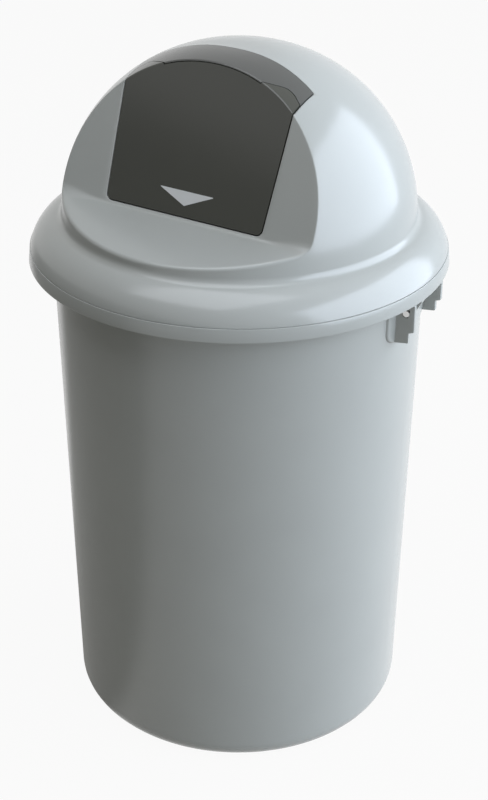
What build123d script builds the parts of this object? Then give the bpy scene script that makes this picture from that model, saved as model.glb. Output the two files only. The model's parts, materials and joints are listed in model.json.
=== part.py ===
from build123d import *
import math
import os

# Round waste bin with a domed push-flap hood. Millimetres, +Z up, front towards -Y.
# The origin is the centre of the base, on the floor.

# Tub
rim_top = 492.0             # height of the tub
rim_radius = 188.5          # outer radius of the tub's rim
rim_flange = 14.0           # how far the rim stands out from the wall
rim_thickness = 2.6
rim_lip = 11.0              # how far the rim turns down
rim_edge = 1.2
tub_taper = 9.7             # the base is this much smaller in radius than the wall's top
tub_wall = 2.6
tub_floor = 3.0
tub_corner = 20.0           # outer radius between wall and base
foot_setback = 33.8         # from the wall to the inside edge of the ring that the tub stands on
foot_recess = 4.0
foot_draft = 3.0
top_radius = rim_radius - rim_flange
base_radius = top_radius - tub_taper
foot_radius = base_radius - foot_setback

# Hood
hood_wall = 2.6
hood_height = 185.2         # above the tub's rim
rim_play = 6.0              # between the rim and the inside of the skirt
skirt_drop = 12.8           # how far the skirt hangs below the rim's top
skirt_lean = 1.3
skirt_step = 0.6            # height of the small step between skirt and shoulder
skirt_ledge = 0.721435      # its width
roll_radius = 37.0          # round shoulder over the rim
roll_sink = 9.2             # centre of the shoulder's round below the skirt's top
valley_radius = 8.0         # hollow between shoulder and dome
dome_setback = 23.1         # from the rim to the dome
dome_ring = 7.4             # the centre of the dome's side arc runs on a ring of this radius
dome_crown_radius = 300.0
seat_clearance = 0.3
seat_rib_count = 18
seat_rib_thickness = 2.4
seat_rib_depth = 10.0
seat_rib_free_angle = 26.0  # no ribs this close to the hood hinge
hood_top = rim_top + hood_height
skirt_bottom = rim_top - skirt_drop
skirt_top = rim_top
skirt_radius = rim_radius + rim_play + hood_wall
skirt_top_radius = skirt_radius - skirt_lean
roll_start = skirt_top + skirt_step
roll_center_height = skirt_top - roll_sink
roll_reach = math.sqrt(roll_radius ** 2 - (roll_sink + skirt_step) ** 2)
roll_center_radius = skirt_top_radius - skirt_ledge - roll_reach
dome_radius = rim_radius - dome_setback
dome_side_radius = dome_radius - dome_ring

# Front recess: a leaning face above a sloping sill
bend_setback = 68.4         # from the dome's front to the line where face and sill meet
bend_rise = 51.3            # that line above the rim
face_lean = 22.9            # degrees from upright
sill_fall = 10.8            # degrees below level
bend_radius = 4.5
recess_edge = 1.6           # rounding where the recess meets the dome
bend_y = bend_setback - dome_radius
bend_z = rim_top + bend_rise

# Flap and the cover over its hinge
flap_wall = 2.2
flap_bottom = 3.5           # above the bend, along the face
flap_top_half = 86.6
flap_narrowing = 5.1        # the flap's foot is this much narrower on each side
flap_shoulder = 2.650804    # the sides turn upright this far below the dome's skin
flap_corner = 5.5
flap_gap = 1.0
flap_rib_inset = 3.0
flap_rib_thickness = 2.0
flap_rib_depth = 8.0
flap_head_drop = 5.0        # the top rib sits lower, to pass under the cover's front edge
cover_depth = 28.3          # from the face back to the cover's rear edge
cover_gap = 0.5
cover_lip = 1.0             # the cover's front edge is thinner, and the flap reaches up under it
lip_gap = 0.7
lip_seat = 3.4              # how far behind the face the cover is thin
flap_tongue = 1.4           # thickness of the flap's edge under the lip
parting_gap = 0.8
parting_front = 7.0         # how far behind the bend, in plan, the corner cut starts
parting_points = [          # line between a flap corner and the cover: inwards from the side, behind the bend
    (46.6, 45.0),
    (37.9, 49.8),
    (31.4, 53.1),
    (24.8, 56.1),
    (16.6, 60.1),
    (9.6, 60.0),
    (3.1, 56.8),
    (-5.4, 53.0),
]
flap_bottom_half = flap_top_half - flap_narrowing

# Flap hinge
axle_radius = 2.0
axle_drop = 9.667956        # below the dome's skin at the lugs, along the face
axle_depth = 12.3           # behind the face
running_fit = 0.05
push_fit = 0.03
side_play = 0.3
lug_setback = 2.8           # from the flap's side to the inner side of each lug
lug_thickness = 4.0
lug_wall = 6.0              # wall of the lug round the axle
cheek_setback = 8.1         # from the flap's side in to the cheek
cheek_thickness = 3.0
cheek_root = 15.0           # half-height of the cheek where it meets the flap
boss_length = 6.5
boss_wall = 3.0             # wall of the flap's boss round the axle
cap_wall = 2.0
cap_length = 4.2
cap_bore = 3.2
spring_wire = 0.3           # radius of the wire
spring_clearance = 1.1      # between the axle and the coil
spring_turns = 6
spring_pitch = 0.8
spring_room = 6.4           # between boss and lug
lug_half = flap_top_half + lug_setback
lug_radius = axle_radius + lug_wall
cheek_half = flap_top_half - cheek_setback
boss_half = lug_half - spring_room
boss_radius = axle_radius + boss_wall
cap_radius = axle_radius + cap_wall
spring_radius = axle_radius + spring_clearance + spring_wire

# Flap stops
tab_up = 20.0               # lower edge of the stop tab above the bend
tab_height = 18.0
tab_overhang = 2.6          # the tab reaches this far past the bumper's middle
tab_thickness = 2.5
bumper_setback = 6.4        # from the flap's lower side out to the bumper's middle
bumper_radius = 3.6
bumper_thickness = 2.4
bumper_gap = 0.3
bumper_half = flap_bottom_half + bumper_setback
tab_half = bumper_half + tab_overhang

# Cover fixing
cover_wall = 2.3            # wall under the cover's rear edge
shelf_setback = 10.6        # the shelf is this much shorter than the flap on each side
shelf_thickness = 2.2
shelf_reach = 12.0          # from the cover's rear edge under the hood
boss_drop = 5.4             # length of the screw bosses under the hood's skin
screw_inset = 16.0          # from the shelf's end to the outer screw
screw_pitch = 34.0          # from the outer screw to the inner one
screw_setback = 5.8         # behind the cover's rear edge
screw_radius = 1.4
screw_play = 0.3            # round the shank in the shelf's hole
screw_boss_wall = 1.8
screw_length = 6.4
screw_head_overhang = 1.8
screw_head_height = 1.8
screw_seat = 0.15
shelf_half = flap_top_half - shelf_setback
screw_outer = shelf_half - screw_inset
screw_inner = screw_outer - screw_pitch
screw_places = (-screw_outer, -screw_inner, screw_inner, screw_outer)
screw_hole_radius = screw_radius + screw_play
screw_boss_radius = screw_radius + screw_boss_wall
screw_head_radius = screw_radius + screw_head_overhang

# Hood hinge on the tub's ears
hinge_turn = 8.1            # behind the tub's right side, degrees
ear_half_span = 40.3
ear_thickness = 5.0
ear_overhang = 0.5          # the ears stand out past the rim
ear_notch = 4.8             # depth of the step in their tips
ear_drop = 30.9             # from the pin down to the ears' lower end
ear_step_drop = 19.2
ear_rise = 8.0              # from the pin up to the ears' shoulder
ear_slope = 1.5
ear_root = 24.5             # how deep the ears start inside the wall's line
pad_half_width = 51.0
pad_thickness = 2.2
pad_corner = 12.0
pin_setback = 7.5           # from the rim in to the pin
pin_drop = 25.5             # below the rim's top
pin_radius = 2.5
pin_head_overhang = 0.5
pin_head_length = 3.2
pin_sink_play = 1.2         # round the head in its recess
pin_sink_depth = 2.6
pin_tail = 3.4
pin_cap_wall = 1.9
pin_cap_length = 4.2
knuckle_wall = 3.0
knuckle_width = 9.3
knuckle_gap = 0.5
arm_offset = 6.6            # from the pin out to the arms
arm_inset = 4.1             # from the skirt's outside in to the arms
arm_drop = 2.2              # how far the arms hang below the skirt
arm_slope = 2.5
arm_height = 12.0
arm_trim = 1.0              # the arms end inside the skirt's wall
ear_tip = rim_radius + ear_overhang
ear_low_tip = ear_tip - ear_notch
ear_inner = top_radius - ear_root
pin_distance = rim_radius - pin_setback
pin_height = rim_top - pin_drop
ear_bottom = pin_height - ear_drop
ear_step = pin_height - ear_step_drop
ear_shoulder = pin_height + ear_rise
pin_head_radius = pin_radius + pin_head_overhang
pin_sink_radius = pin_head_radius + pin_sink_play
pin_cap_radius = pin_radius + pin_cap_wall
knuckle_radius = pin_radius + knuckle_wall
arm_inner = pin_distance + arm_offset
arm_outer = skirt_radius - arm_inset
arm_low = skirt_bottom - arm_drop
arm_bend = arm_low + arm_slope
arm_top = arm_low + arm_height

lean = math.radians(face_lean)
fall = math.radians(sill_fall)
face_up = Vector(0, math.sin(lean), math.cos(lean))
face_out = Vector(0, -math.cos(lean), math.sin(lean))
bend_point = Vector(0, bend_y, bend_z)


def dome_arc(reach):
    """Centre distance, centre height and radius of the dome's arc at a distance from the upright axis."""
    crown = hood_top - dome_crown_radius
    rise = math.sqrt((dome_crown_radius - dome_side_radius) ** 2 - dome_ring ** 2)
    if reach < dome_ring * dome_crown_radius / (dome_crown_radius - dome_side_radius):
        return 0, crown, dome_crown_radius
    return dome_ring, crown + rise, dome_side_radius


def face_edge(x):
    """How far up the leaning face the dome's skin is met at x."""
    low = 0
    high = 2 * dome_radius
    for _ in range(60):
        up = (low + high) / 2
        place = bend_point + face_up * up
        reach = math.hypot(x, place.Y)
        arc_reach, arc_height, arc_radius = dome_arc(reach)
        if math.hypot(reach - arc_reach, place.Z - arc_height) < arc_radius:
            low = up
        else:
            high = up
    return up


flap_top = face_edge(flap_top_half) - flap_shoulder
axle_up = face_edge(lug_half) - axle_drop
face_plane = Plane(origin=bend_point, x_dir=(1, 0, 0), z_dir=face_out)
side_plane = Plane(origin=(0, 0, 0), x_dir=(0, 1, 0), z_dir=(1, 0, 0))
axle_point = bend_point + face_up * axle_up - face_out * axle_depth
hinge_frame = Rot(0, 0, hinge_turn)


def on_circle(center, radius, angle):
    return (center[0] + radius * math.cos(angle), center[1] + radius * math.sin(angle))


def circle_meeting(first, first_radius, second, second_radius):
    """Upper meeting point of two circles, each given by its centre and radius."""
    dx = second[0] - first[0]
    dy = second[1] - first[1]
    apart = math.hypot(dx, dy)
    along = (first_radius ** 2 - second_radius ** 2 + apart ** 2) / (2 * apart)
    across = math.sqrt(first_radius ** 2 - along ** 2)
    return (first[0] + (along * dx - across * dy) / apart, first[1] + (along * dy + across * dx) / apart)


def angle_to(start, end):
    return math.atan2(end[1] - start[1], end[0] - start[0])


def arc_about(center, radius, start_angle, end_angle):
    middle = (start_angle + end_angle) / 2
    points = [on_circle(center, radius, angle) for angle in (start_angle, middle, end_angle)]
    return ThreePointArc(*points)


def dome_solid(inset, bottom=skirt_bottom):
    """The hood's round outer form, moved inwards by inset and filled."""
    crown = (0, hood_top - dome_crown_radius)
    side_x = dome_radius - dome_side_radius
    side_rise = math.sqrt((dome_crown_radius - dome_side_radius) ** 2 - side_x ** 2)
    side = (side_x, crown[1] + side_rise)
    roll = (roll_center_radius, roll_center_height)
    valley = circle_meeting(side, dome_side_radius + valley_radius, roll, roll_radius + valley_radius)
    roll_angle = math.asin((roll_start - roll_center_height) / roll_radius)
    side_low = angle_to(side, valley)
    side_high = angle_to(crown, side)
    roll_high = angle_to(roll, valley)
    shoulder = arc_about(roll, roll_radius - inset, roll_angle, roll_high)
    hollow = arc_about(valley, valley_radius + inset, roll_high + math.pi, side_low + math.pi)
    flank = arc_about(side, dome_side_radius - inset, side_low, side_high)
    crown_arc = arc_about(crown, dome_crown_radius - inset, side_high, math.pi / 2)
    skirt_low = (skirt_radius - inset, bottom)
    skirt_high = (skirt_top_radius - inset, skirt_top)
    foot = Polyline((0, hood_top - inset), (0, bottom), skirt_low, skirt_high, shoulder @ 0)
    outline = make_face(foot + shoulder + hollow + flank + crown_arc)
    return revolve(Plane.XZ * outline, Axis.Z)


def front_tool(inset):
    """The space in front of the leaning face and above the sill, grown by inset into the hood."""
    face_normal = (-math.cos(lean), math.sin(lean))
    sill_normal = (-math.sin(fall), math.cos(fall))
    area = face_normal[0] * sill_normal[1] - face_normal[1] * sill_normal[0]
    shift_y = inset * (face_normal[1] - sill_normal[1]) / area
    shift_z = inset * (sill_normal[0] - face_normal[0]) / area
    corner = (bend_y + shift_y, bend_z + shift_z)
    reach = 2 * skirt_radius
    face_end = (corner[0] + reach * math.sin(lean), corner[1] + reach * math.cos(lean))
    sill_end = (corner[0] - reach * math.cos(fall), corner[1] - reach * math.sin(fall))
    far_corner = (sill_end[0], face_end[1])
    outline = make_face(Polyline(corner, face_end, far_corner, sill_end, close=True))
    bend = [v for v in outline.vertices() if math.dist((v.X, v.Y), corner) < 0.01]
    outline = fillet(bend, bend_radius + inset)
    return extrude(side_plane * outline, amount=reach, both=True)


def face_prism(grow, front, depth, bottom_round=flap_corner):
    """A block with the flap's outline, grown sideways and down, from front to depth behind the face."""
    low = flap_bottom - grow
    high = flap_top + hood_top / 4
    points = [
        (flap_bottom_half + grow, low),
        (flap_top_half + grow, flap_top),
        (flap_top_half + grow, high),
        (-flap_top_half - grow, high),
        (-flap_top_half - grow, flap_top),
        (-flap_bottom_half - grow, low),
    ]
    outline = make_face(Polyline(*points, close=True))
    corners = outline.vertices().sort_by(Axis.Y)[:2]
    outline = fillet(corners, bottom_round + grow)
    return extrude(face_plane.offset(-depth) * outline, amount=depth + front)


def corner_prisms(shift):
    """The two plan areas in which the flap's top corners wrap back over the dome."""
    points = [(flap_top_half - inwards, bend_y + behind) for inwards, behind in parting_points]
    inner = points[0]
    outer = points[-1]
    front = bend_y + parting_front
    rest = Polyline(outer, (outer[0], front), (inner[0], front), inner)
    curve = Spline(*points)
    area = Pos(0, shift, 0) * make_face(curve + rest)
    right = extrude(area, amount=hood_top)
    return [right, mirror(right, about=Plane.YZ)]


def box_between(low, high):
    size = [b - a for a, b in zip(low, high)]
    return Pos(*low) * Box(*size, align=(Align.MIN, Align.MIN, Align.MIN))


def x_rod(radius, start, end, point):
    return Pos(start, point.Y, point.Z) * Rot(0, 90, 0) * Cylinder(
        radius, end - start, align=(Align.CENTER, Align.CENTER, Align.MIN))


def v_rod(radius, start, end):
    """A rod on the hood hinge's axis, in the hinge frame."""
    return Pos(pin_distance, start, pin_height) * Rot(-90, 0, 0) * Cylinder(
        radius, end - start, align=(Align.CENTER, Align.CENTER, Align.MIN))


def both_sides(shape):
    return [shape, mirror(shape, about=Plane.YZ)]


def ring_about_axle(radius, start, end):
    return x_rod(radius, start, end, axle_point)


def side_block(points, start, end):
    """A plate seen from the side: points are (behind the face, above the bend), from x start to end."""
    outline = []
    for behind, above in points:
        place = bend_point + face_up * above - face_out * behind
        outline.append((place.Y, place.Z))
    plane = Plane(origin=(start, 0, 0), x_dir=(0, 1, 0), z_dir=(1, 0, 0))
    return extrude(plane * make_face(Polyline(*outline, close=True)), amount=end - start)


# The hood's filled forms, shared by hood, flap and cover
outer_form = dome_solid(0) - front_tool(0)
recess_edges = [
    edge for edge in outer_form.edges()
    if edge.center().Z > skirt_top + valley_radius
    and edge.geom_type not in (GeomType.LINE, GeomType.CIRCLE)
]
outer_form = fillet(recess_edges, recess_edge)
inner_form = dome_solid(hood_wall, skirt_bottom - hood_wall) - front_tool(hood_wall)


def wall_radius(height):
    return base_radius + (top_radius - base_radius) * height / skirt_bottom


def tub_form():
    high = rim_top - rim_thickness
    lip = rim_top - rim_lip
    points = [
        (0, foot_recess),
        (foot_radius - foot_draft, foot_recess),
        (foot_radius, 0),
        (base_radius, 0),
        (wall_radius(high), high),
        (rim_radius - rim_thickness, high),
        (rim_radius - rim_thickness, lip),
        (rim_radius, lip),
        (rim_radius, rim_top),
        (0, rim_top),
    ]
    outline = make_face(Polyline(*points, close=True))
    corner = [v for v in outline.vertices() if math.dist((v.X, v.Y), (base_radius, 0)) < 0.01]
    outline = fillet(corner, tub_corner)
    edge = [v for v in outline.vertices() if math.dist((v.X, v.Y), (rim_radius, rim_top)) < 0.01]
    outline = fillet(edge, rim_edge)
    return revolve(Plane.XZ * outline, Axis.Z)


def tub_cavity():
    floor = foot_recess + tub_floor
    points = [
        (0, floor),
        (wall_radius(floor) - tub_wall, floor),
        (wall_radius(rim_top + 1) - tub_wall, rim_top + 1),
        (0, rim_top + 1),
    ]
    outline = make_face(Polyline(*points, close=True))
    corner = [v for v in outline.vertices() if math.dist((v.X, v.Y), points[1]) < 0.01]
    outline = fillet(corner, tub_corner - tub_wall)
    return revolve(Plane.XZ * outline, Axis.Z)


def hinge_pad():
    """A raised pad on the tub's wall, from which the ears stand out."""
    high = rim_top - rim_thickness
    outline = Pos(0, (ear_bottom + high) / 2) * Rectangle(2 * pad_half_width, high - ear_bottom)
    outline = fillet(outline.vertices().sort_by(Axis.Y)[:2], pad_corner)
    block = extrude(Plane.YZ * outline, amount=rim_radius)
    low_radius = wall_radius(0) + pad_thickness
    high_radius = wall_radius(rim_top) + pad_thickness
    cone = Cone(low_radius, high_radius, rim_top, align=(Align.CENTER, Align.CENTER, Align.MIN))
    return block & cone


def hinge_plate(points, start, end):
    """A plate across the hood hinge, in the hinge frame."""
    plane = Plane(origin=(0, start, 0), x_dir=(1, 0, 0), z_dir=(0, -1, 0))
    return extrude(plane * make_face(Polyline(*points, close=True)), amount=start - end)


def hinge_ear(start, end):
    """One ear with its stepped tip."""
    lip_middle = rim_radius - rim_thickness / 2
    neck = math.sqrt(lip_middle ** 2 - (ear_half_span - ear_thickness / 2) ** 2)
    points = [
        (ear_inner, ear_bottom),
        (ear_low_tip, ear_bottom + ear_slope),
        (ear_low_tip, ear_step),
        (ear_tip, ear_step + ear_slope),
        (ear_tip, ear_shoulder),
        (neck, rim_top - rim_lip),
        (neck, rim_top - rim_thickness),
        (ear_inner, rim_top - rim_thickness),
    ]
    return hinge_plate(points, start, end)


def make_bin_body():
    near_ear = hinge_ear(-ear_half_span, -ear_half_span + ear_thickness)
    far_ear = hinge_ear(ear_half_span - ear_thickness, ear_half_span)
    bore = v_rod(pin_radius + running_fit, -rim_radius, rim_radius)
    sink = v_rod(pin_sink_radius, -rim_radius, -ear_half_span + pin_sink_depth)
    ears = near_ear + far_ear - bore - sink
    return tub_form() + hinge_frame * (hinge_pad() + ears) - tub_cavity()


def seat_ribs():
    """Upright ribs under the round shoulder, whose flat feet rest on the tub's rim."""
    ribs = []
    low = rim_top + seat_clearance
    for i in range(seat_rib_count):
        turn = (i + 0.5) * 360 / seat_rib_count
        if min(turn, 360 - turn) < seat_rib_free_angle:
            continue
        rib = box_between(
            (rim_radius - seat_rib_depth, -seat_rib_thickness / 2, low),
            (rim_radius, seat_rib_thickness / 2, low + roll_radius),
        )
        ribs.append(Rot(0, 0, hinge_turn + turn) * rib)
    return Compound(children=ribs) & dome_solid(hood_wall / 2)


def hinge_arm(start, end):
    """A knuckle round the pin, with the arm that carries it under the skirt."""
    low_points = [
        (pin_distance, pin_height + knuckle_radius),
        (arm_inner, arm_bend),
        (arm_outer, arm_bend),
        (arm_outer, arm_low),
        (pin_distance + knuckle_radius * 0.9, pin_height - knuckle_radius * 0.4),
        (pin_distance, pin_height),
    ]
    high_points = [
        (arm_inner, arm_low),
        (arm_inner, arm_top),
        (skirt_radius, arm_top),
        (skirt_radius, arm_low),
    ]
    low_arm = hinge_plate(low_points, start, end) + v_rod(knuckle_radius, start, end)
    high_arm = hinge_plate(high_points, start, end) & dome_solid(arm_trim)
    return low_arm + high_arm - v_rod(pin_radius + running_fit, start - 1, end + 1)


def hinge_arms():
    outer = ear_half_span - ear_thickness - knuckle_gap
    arms = hinge_arm(-outer, -outer + knuckle_width) + hinge_arm(outer - knuckle_width, outer)
    return hinge_frame * arms


def axle_lug():
    """The hood's bearing lug for the flap's axle, on the right side."""
    points = [
        (hood_wall / 2, axle_up - lug_radius),
        (axle_depth, axle_up - lug_radius),
        (axle_depth, axle_up + lug_radius),
        (hood_wall / 2, axle_up + lug_radius),
    ]
    plate = side_block(points, lug_half, lug_half + lug_thickness)
    plate += ring_about_axle(lug_radius, lug_half, lug_half + lug_thickness)
    plate &= dome_solid(hood_wall / 2)
    return plate - ring_about_axle(axle_radius + running_fit, lug_half - 1, lug_half + lug_thickness + 1)


def dome_frame(x, behind, inset):
    """A plane on the dome at x, so far behind the face and under the skin, facing inwards."""
    front = bend_point.dot(face_out)
    low = -dome_radius
    high = dome_radius
    for _ in range(60):
        y = (low + high) / 2
        reach = math.hypot(x, y)
        arc_reach, arc_height, arc_radius = dome_arc(reach)
        out = reach - arc_reach
        z = arc_height + math.sqrt(max(arc_radius ** 2 - out ** 2, 0))
        if front - Vector(x, y, z).dot(face_out) < behind:
            low = y
        else:
            high = y
    inward = Vector(-out * x / reach, -out * y / reach, arc_height - z).normalized()
    place = Vector(x, y, z) + inward * inset
    return Plane(origin=place, z_dir=inward)


def rod_on(plane, radius, length):
    return plane * Cylinder(radius, length, align=(Align.CENTER, Align.CENTER, Align.MIN))


def screw_frame(x, inset):
    return dome_frame(x, cover_depth + screw_setback, inset)


def screw_bosses():
    bosses = []
    for x in screw_places:
        boss = rod_on(screw_frame(x, hood_wall / 2), screw_boss_radius, hood_wall / 2 + boss_drop)
        hole = rod_on(screw_frame(x, hood_wall * 0.8), screw_radius + push_fit, boss_drop + hood_wall)
        bosses.append(boss - hole)
    return bosses


def make_hood():
    solid = outer_form - inner_form
    solid -= face_prism(flap_gap, cover_depth, cover_depth + cover_gap)
    solid += seat_ribs()
    solid += hinge_arms()
    for part in both_sides(axle_lug()) + screw_bosses():
        solid += part
    return solid


def make_push_flap():
    corners = corner_prisms(0)
    under_cover = dome_solid(hood_wall + parting_gap)
    under_lip = dome_solid(cover_lip + lip_gap) & face_prism(0, 1, flap_tongue)
    space = face_prism(0, 1, 2 * cover_depth) & outer_form
    shell_inner = dome_solid(flap_wall) - front_tool(flap_wall)
    space = (space & under_cover) + (space & under_lip) + (space & corners[0]) + (space & corners[1])
    shell = space - shell_inner
    rim = face_prism(-flap_rib_inset, 0, flap_rib_depth)
    rim -= face_prism(-flap_rib_inset - flap_rib_thickness, 1, 2 * flap_rib_depth)
    head_inset = hood_wall + parting_gap + flap_head_drop
    head = face_prism(-flap_rib_inset, 0, flap_rib_depth) & dome_solid(head_inset)
    head -= dome_solid(head_inset + flap_rib_thickness)
    solid = shell + (rim & under_cover & outer_form) + (head & outer_form)
    cheek = side_block(
        [
            (flap_wall / 2, axle_up - cheek_root),
            (axle_depth, axle_up - boss_radius),
            (axle_depth, axle_up + boss_radius),
            (flap_wall / 2, axle_up + cheek_root),
        ],
        cheek_half, cheek_half + cheek_thickness,
    )
    cheek = cheek & dome_solid(flap_wall / 2)
    cheek += ring_about_axle(boss_radius, boss_half - boss_length, boss_half)
    tab_front = hood_wall + bumper_thickness + bumper_gap
    tab = side_block(
        [
            (tab_front, tab_up),
            (tab_front + tab_thickness, tab_up),
            (tab_front + tab_thickness, tab_up + tab_height),
            (tab_front, tab_up + tab_height),
        ],
        flap_bottom_half - flap_rib_inset - flap_rib_thickness, tab_half,
    )
    for part in both_sides(cheek) + both_sides(tab):
        solid += part
    return solid - ring_about_axle(axle_radius + running_fit, -lug_half, lug_half)


def make_flap_cover():
    slab = face_prism(flap_gap - cover_gap, 1, cover_depth)
    shell = (outer_form & slab) - dome_solid(hood_wall)
    shell -= dome_solid(cover_lip) & face_prism(flap_gap, 1, lip_seat)
    back = face_prism(flap_gap - cover_gap, 1, cover_depth) - face_prism(flap_gap, 2, cover_depth - cover_wall)
    shelf_inset = hood_wall + boss_drop
    shelf_form = dome_solid(shelf_inset) - dome_solid(shelf_inset + shelf_thickness)
    strip = box_between((-shelf_half, -dome_radius, 0), (shelf_half, dome_radius, hood_top))
    wall = back & strip & (dome_solid(hood_wall / 2) - dome_solid(shelf_inset + shelf_thickness))
    reach = face_prism(flap_gap, 1, cover_depth + shelf_reach)
    reach -= face_prism(2 * flap_gap, 2, cover_depth - cover_wall)
    shelf = shelf_form & strip & reach
    solid = shell
    for corner in corner_prisms(parting_gap):
        solid -= corner
    solid = solid + wall + shelf
    for x in screw_places:
        solid -= rod_on(screw_frame(x, hood_wall), screw_hole_radius, 2 * boss_drop)
    return solid


def make_cover_screws():
    screws = []
    seat = hood_wall + boss_drop + shelf_thickness + screw_seat
    for x in screw_places:
        head = rod_on(screw_frame(x, seat), screw_head_radius, screw_head_height)
        shank = rod_on(screw_frame(x, seat - screw_length), screw_radius, screw_length)
        screws.append(head + shank)
    return screws


def make_flap_axle():
    end = lug_half + lug_thickness + cap_bore
    return ring_about_axle(axle_radius, -end, end)


def make_axle_cap():
    start = lug_half + lug_thickness + side_play
    cap = ring_about_axle(cap_radius, start, start + cap_length)
    return cap - ring_about_axle(axle_radius + push_fit, start - 1, start + cap_bore)


def make_flap_spring():
    """A torsion spring round the axle, with its fixed leg reaching forward to the hood's face."""
    height = spring_turns * spring_pitch
    start = boss_half + side_play + spring_wire
    coil = Helix(spring_pitch, height, spring_radius)
    leg_length = axle_depth - hood_wall - side_play
    path = coil + Line(coil @ 1, coil @ 1 + (coil % 1) * leg_length)
    wire = sweep(Plane(origin=coil @ 0, z_dir=coil % 0) * Circle(spring_wire), path=path, is_frenet=True)
    frame = Plane(origin=(start, axle_point.Y, axle_point.Z), x_dir=face_up, z_dir=(1, 0, 0))
    return frame * wire


def make_flap_bumper():
    place = bend_point + face_up * (tab_up + tab_height / 2) - face_out * hood_wall
    plane = Plane(origin=place + Vector(bumper_half, 0, 0), x_dir=(1, 0, 0), z_dir=-face_out)
    return rod_on(plane, bumper_radius, bumper_thickness)


def make_hood_hinge_pin():
    seat = -ear_half_span + pin_sink_depth - push_fit
    head = v_rod(pin_head_radius, seat - pin_head_length, seat)
    return hinge_frame * (head + v_rod(pin_radius, seat - 1, ear_half_span + pin_tail))


def make_hood_pin_cap():
    start = ear_half_span + side_play
    cap = v_rod(pin_cap_radius, start, start + pin_cap_length)
    return hinge_frame * (cap - v_rod(pin_radius + push_fit, start - 1, ear_half_span + pin_tail + push_fit))


def save(name, shape):
    solids = shape if isinstance(shape, list) else shape.solids()
    whole = solids[0] if len(solids) == 1 else Compound(children=list(solids))
    export_step(whole, "parts/" + name + ".step")
    print(name, len(solids), "solid", round(sum(s.volume for s in solids) / 1000, 2), "cm3")


def main():
    os.makedirs("parts", exist_ok=True)
    save("bin_body", make_bin_body())
    save("hood", make_hood())
    save("push_flap", make_push_flap())
    save("flap_cover", make_flap_cover())
    save("cover_screws", make_cover_screws())
    save("flap_axle", make_flap_axle())
    for side, cap in zip(("right", "left"), both_sides(make_axle_cap())):
        save("axle_cap_" + side, cap)
    for side, spring in zip(("right", "left"), both_sides(make_flap_spring())):
        save("flap_spring_" + side, spring)
    for side, bumper in zip(("right", "left"), both_sides(make_flap_bumper())):
        save("flap_bumper_" + side, bumper)
    save("hood_hinge_pin", make_hood_hinge_pin())
    save("hood_pin_cap", make_hood_pin_cap())


main()
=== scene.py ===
import bmesh
import bpy
import json
import math
import numpy as np
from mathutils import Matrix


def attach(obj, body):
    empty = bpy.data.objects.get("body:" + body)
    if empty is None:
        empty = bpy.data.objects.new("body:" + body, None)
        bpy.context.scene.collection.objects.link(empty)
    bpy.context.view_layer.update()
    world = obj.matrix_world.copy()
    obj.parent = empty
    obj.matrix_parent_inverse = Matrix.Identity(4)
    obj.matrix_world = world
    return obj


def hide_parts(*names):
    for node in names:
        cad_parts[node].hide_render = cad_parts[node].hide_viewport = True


# A round waste bin with a domed push-flap hood, in millimetres and degrees; grain and studio hold metres
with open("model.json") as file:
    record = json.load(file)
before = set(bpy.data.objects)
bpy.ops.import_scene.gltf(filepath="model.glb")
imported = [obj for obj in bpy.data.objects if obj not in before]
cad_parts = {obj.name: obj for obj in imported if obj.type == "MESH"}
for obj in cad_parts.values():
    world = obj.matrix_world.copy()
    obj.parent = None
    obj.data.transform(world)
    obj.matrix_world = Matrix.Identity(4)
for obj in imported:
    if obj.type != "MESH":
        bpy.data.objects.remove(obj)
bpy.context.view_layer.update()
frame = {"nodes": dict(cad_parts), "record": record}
mm = 0.001

dome = {
    "ring": 7.4,  # the side arc's centre runs on this small ring
    "sideRadius": 158.0,
    "crownRadius": 300.0,
    "top": 677.2,
    "wall": 2.6,
}
dome["crownHeight"] = dome["top"] - dome["crownRadius"]
dome["sideHeight"] = dome["crownHeight"] + math.sqrt(
    (dome["crownRadius"] - dome["sideRadius"]) ** 2 - dome["ring"] ** 2)
dome["sideEnd"] = math.atan2(dome["sideHeight"] - dome["crownHeight"], dome["ring"])

shoulder = {
    "skirtRadius": 197.1,
    "skirtBottom": 479.2,
    "skirtTop": 492.0,
    "skirtTopRadius": 195.8,
    "skirtRound": 0.9,
    "stepRound": 0.5,
    "grooveDepth": 1.5,  # of the fine line between skirt and roll
    "grooveWidth": 0.4,
    "rollRadius": 37.0,
    "rollRing": 159.4,
    "rollHeight": 482.8,
    "rollStart": 492.6,
    "valleyRadius": 8.0,
}

recess = {
    "bendY": -97.0,
    "bendZ": 543.3,
    "lean": 22.9,
    "fall": 10.8,
    "bendRadius": 4.5,
    "bendEnd": 16.0,  # the bend's radius where it runs out at the dome
    "bendFrom": 90.0,  # it starts to widen this far from the middle
    "sillRound": 3.6,  # rounding of the sill's front edge
    "cheekRound": 1.6,  # rounding of the cheeks' edges
    "roundFrom": -22.0,  # the rounding shrinks between these places along the profile
    "roundTo": 8.0,
    "tipSearch": (-75.0, -60.0),  # the sill's tip lies between these
}
lean, fall = math.radians(recess["lean"]), math.radians(recess["fall"])
faceUp = np.array([0.0, math.sin(lean), math.cos(lean)])
faceOut = np.array([0.0, -math.cos(lean), math.sin(lean)])
sillOut = np.array([0.0, -math.cos(fall), -math.sin(fall)])
sillUp = np.array([0.0, -math.sin(fall), math.cos(fall)])
towardMiddle = np.array([-1.0, 0.0, 0.0])
bendPoint = np.array([0.0, recess["bendY"], recess["bendZ"]])

window = {
    "bottom": 2.5,  # above the bend, along the face
    "bottomHalf": 82.5,
    "top": 108.4,
    "topHalf": 87.6,
    "corner": 6.5,
    "depth": 28.8,  # from the face back to the rear edge
    "edgeRound": 0.6,
    "topSearch": (-10.0, 25.0),  # the face ends between these, from the window's top
}
domeSearch = (-110.0, 60.0)  # a dome point behind the face lies between these along Y


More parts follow.
